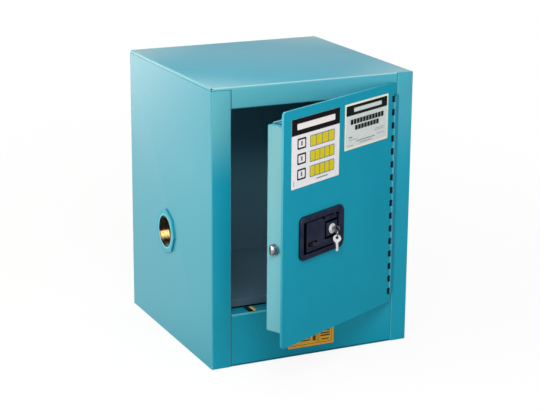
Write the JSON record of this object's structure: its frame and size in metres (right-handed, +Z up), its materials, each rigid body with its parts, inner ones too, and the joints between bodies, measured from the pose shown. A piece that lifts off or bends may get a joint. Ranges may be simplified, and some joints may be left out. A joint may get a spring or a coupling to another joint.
{
  "type": "safety storage cabinet",
  "caption": "Counter-top safety storage cabinet in blue-painted double-walled steel, with one hinged door, a recessed paddle handle with lock and keys, side vents and a raised spill sill.",
  "frame": {"origin": "middle of the cabinet's base, on the surface it stands on", "axes": "+X to the right of someone facing the front, +Y to the back, +Z up; the door is on the -Y side"},
  "size_m": [0.4496, 0.5957, 0.559],
  "materials": {
    "teal_powder_coat": "satin powder coat",
    "black_moulded_plastic": "matte",
    "plated_steel": "plated",
    "dark_steel": "dark plated",
    "brass": "satin",
    "printed_label": "satin",
    "amber_label": "satin"
  },
  "bodies": {
    "cabinet": {"left_side_panel": "teal_powder_coat", "right_side_panel": "teal_powder_coat", "top_panel": "teal_powder_coat", "back_panel": "teal_powder_coat", "base_panel": "teal_powder_coat", "sill_rail": "teal_powder_coat", "liner_left": "teal_powder_coat", "liner_right": "teal_powder_coat", "liner_top": "teal_powder_coat", "liner_back": "teal_powder_coat", "liner_floor": "teal_powder_coat", "hinge_frame_leaf": "teal_powder_coat", "hinge_pin": "dark_steel", "left_vent_flange": "teal_powder_coat", "left_vent_ring": "brass", "left_flame_screen": "brass", "right_vent_flange": "teal_powder_coat", "right_vent_ring": "brass", "right_flame_screen": "brass", "shelf_bracket_front_left": "plated_steel", "shelf_bracket_front_right": "plated_steel", "shelf_bracket_rear_left": "plated_steel", "shelf_bracket_rear_right": "plated_steel", "sill_label": "amber_label", "sill_tag": "amber_label", "strike_plate": "plated_steel", "ground_screw": "brass"},
    "vent_cap": {"right_vent_cap": "brass"},
    "shelf": {"shelf": "teal_powder_coat"},
    "door": {"door_skin": "teal_powder_coat", "door_pan": "teal_powder_coat", "hinge_door_leaf": "teal_powder_coat", "door_label": "printed_label", "door_plate": "printed_label", "handle_bezel": "black_moulded_plastic", "padlock_staple": "dark_steel", "lock_block": "black_moulded_plastic", "lock_body": "plated_steel", "bolt_guide": "dark_steel", "rod_bracket": "plated_steel", "lever_post": "plated_steel"},
    "paddle": {"paddle": "black_moulded_plastic", "paddle_pin_upper": "plated_steel", "paddle_pin_lower": "plated_steel"},
    "lever": {"latch_lever": "plated_steel"},
    "bolt": {"latch_bolt": "dark_steel"},
    "lock_plug": {"lock_plug": "plated_steel", "lock_cam": "plated_steel"},
    "key": {"door_key": "plated_steel"},
    "ring": {"key_ring": "plated_steel"},
    "spare": {"spare_key": "plated_steel"}
  },
  "joints": [
    {"name": "door_swing", "type": "hinge", "parent": "cabinet", "child": "door", "pos_m": [0.1727, -0.2199, 0.3], "axis": [0, 0, 1], "range_deg": [-26.5, 153.5]},
    {"name": "paddle_pull", "type": "hinge", "parent": "door", "child": "paddle", "pos_m": [-0.00235, -0.31031, 0.29], "axis": [0, 0, 1], "range_deg": [0, 20], "stiffness_Nm_per_rad": 0.4, "springref_deg": -8.59},
    {"name": "lever_turn", "type": "hinge", "parent": "door", "child": "lever", "pos_m": [-0.01453, -0.28587, 0.2985], "axis": [0.4462, -0.8949, 0], "range_deg": [0, 29.8]},
    {"name": "bolt_slide", "type": "slide", "parent": "door", "child": "bolt", "axis": [0.8949, 0.4462, 0], "range_m": [0, 0.0114]},
    {"name": "lock_turn", "type": "hinge", "parent": "door", "child": "lock_plug", "pos_m": [-0.01389, -0.31293, 0.2925], "axis": [0.4462, -0.8949, 0], "range_deg": [0, 90]},
    {"name": "key_pull", "type": "slide", "parent": "lock_plug", "child": "key", "axis": [0.4462, -0.8949, 0], "range_m": [0, 0.02]},
    {"name": "ring_swing", "type": "hinge", "parent": "key", "child": "ring", "pos_m": [-0.00582, -0.32913, 0.2914], "axis": [0.8949, 0.4462, 0], "range_deg": [-8, 8]},
    {"name": "spare_swing", "type": "hinge", "parent": "ring", "child": "spare", "pos_m": [-0.00582, -0.32913, 0.2774], "axis": [0.3173, 0.9483, 0], "range_deg": [-25, 25]},
    {"name": "cap_turn", "type": "hinge", "parent": "cabinet", "child": "vent_cap", "pos_m": [0.2203, 0.017, 0.2195], "axis": [1, 0, 0], "continuous": true},
    {"name": "shelf_lift", "type": "slide", "parent": "cabinet", "child": "shelf", "axis": [0, 0, 1], "range_m": [0, 0.05]}
  ],
  "couplings": [
    {"joint": "lever_turn", "follows": "paddle_pull", "ratio": 1.49},
    {"joint": "bolt_slide", "follows": "paddle_pull", "m_per_rad": 0.032658}
  ]
}
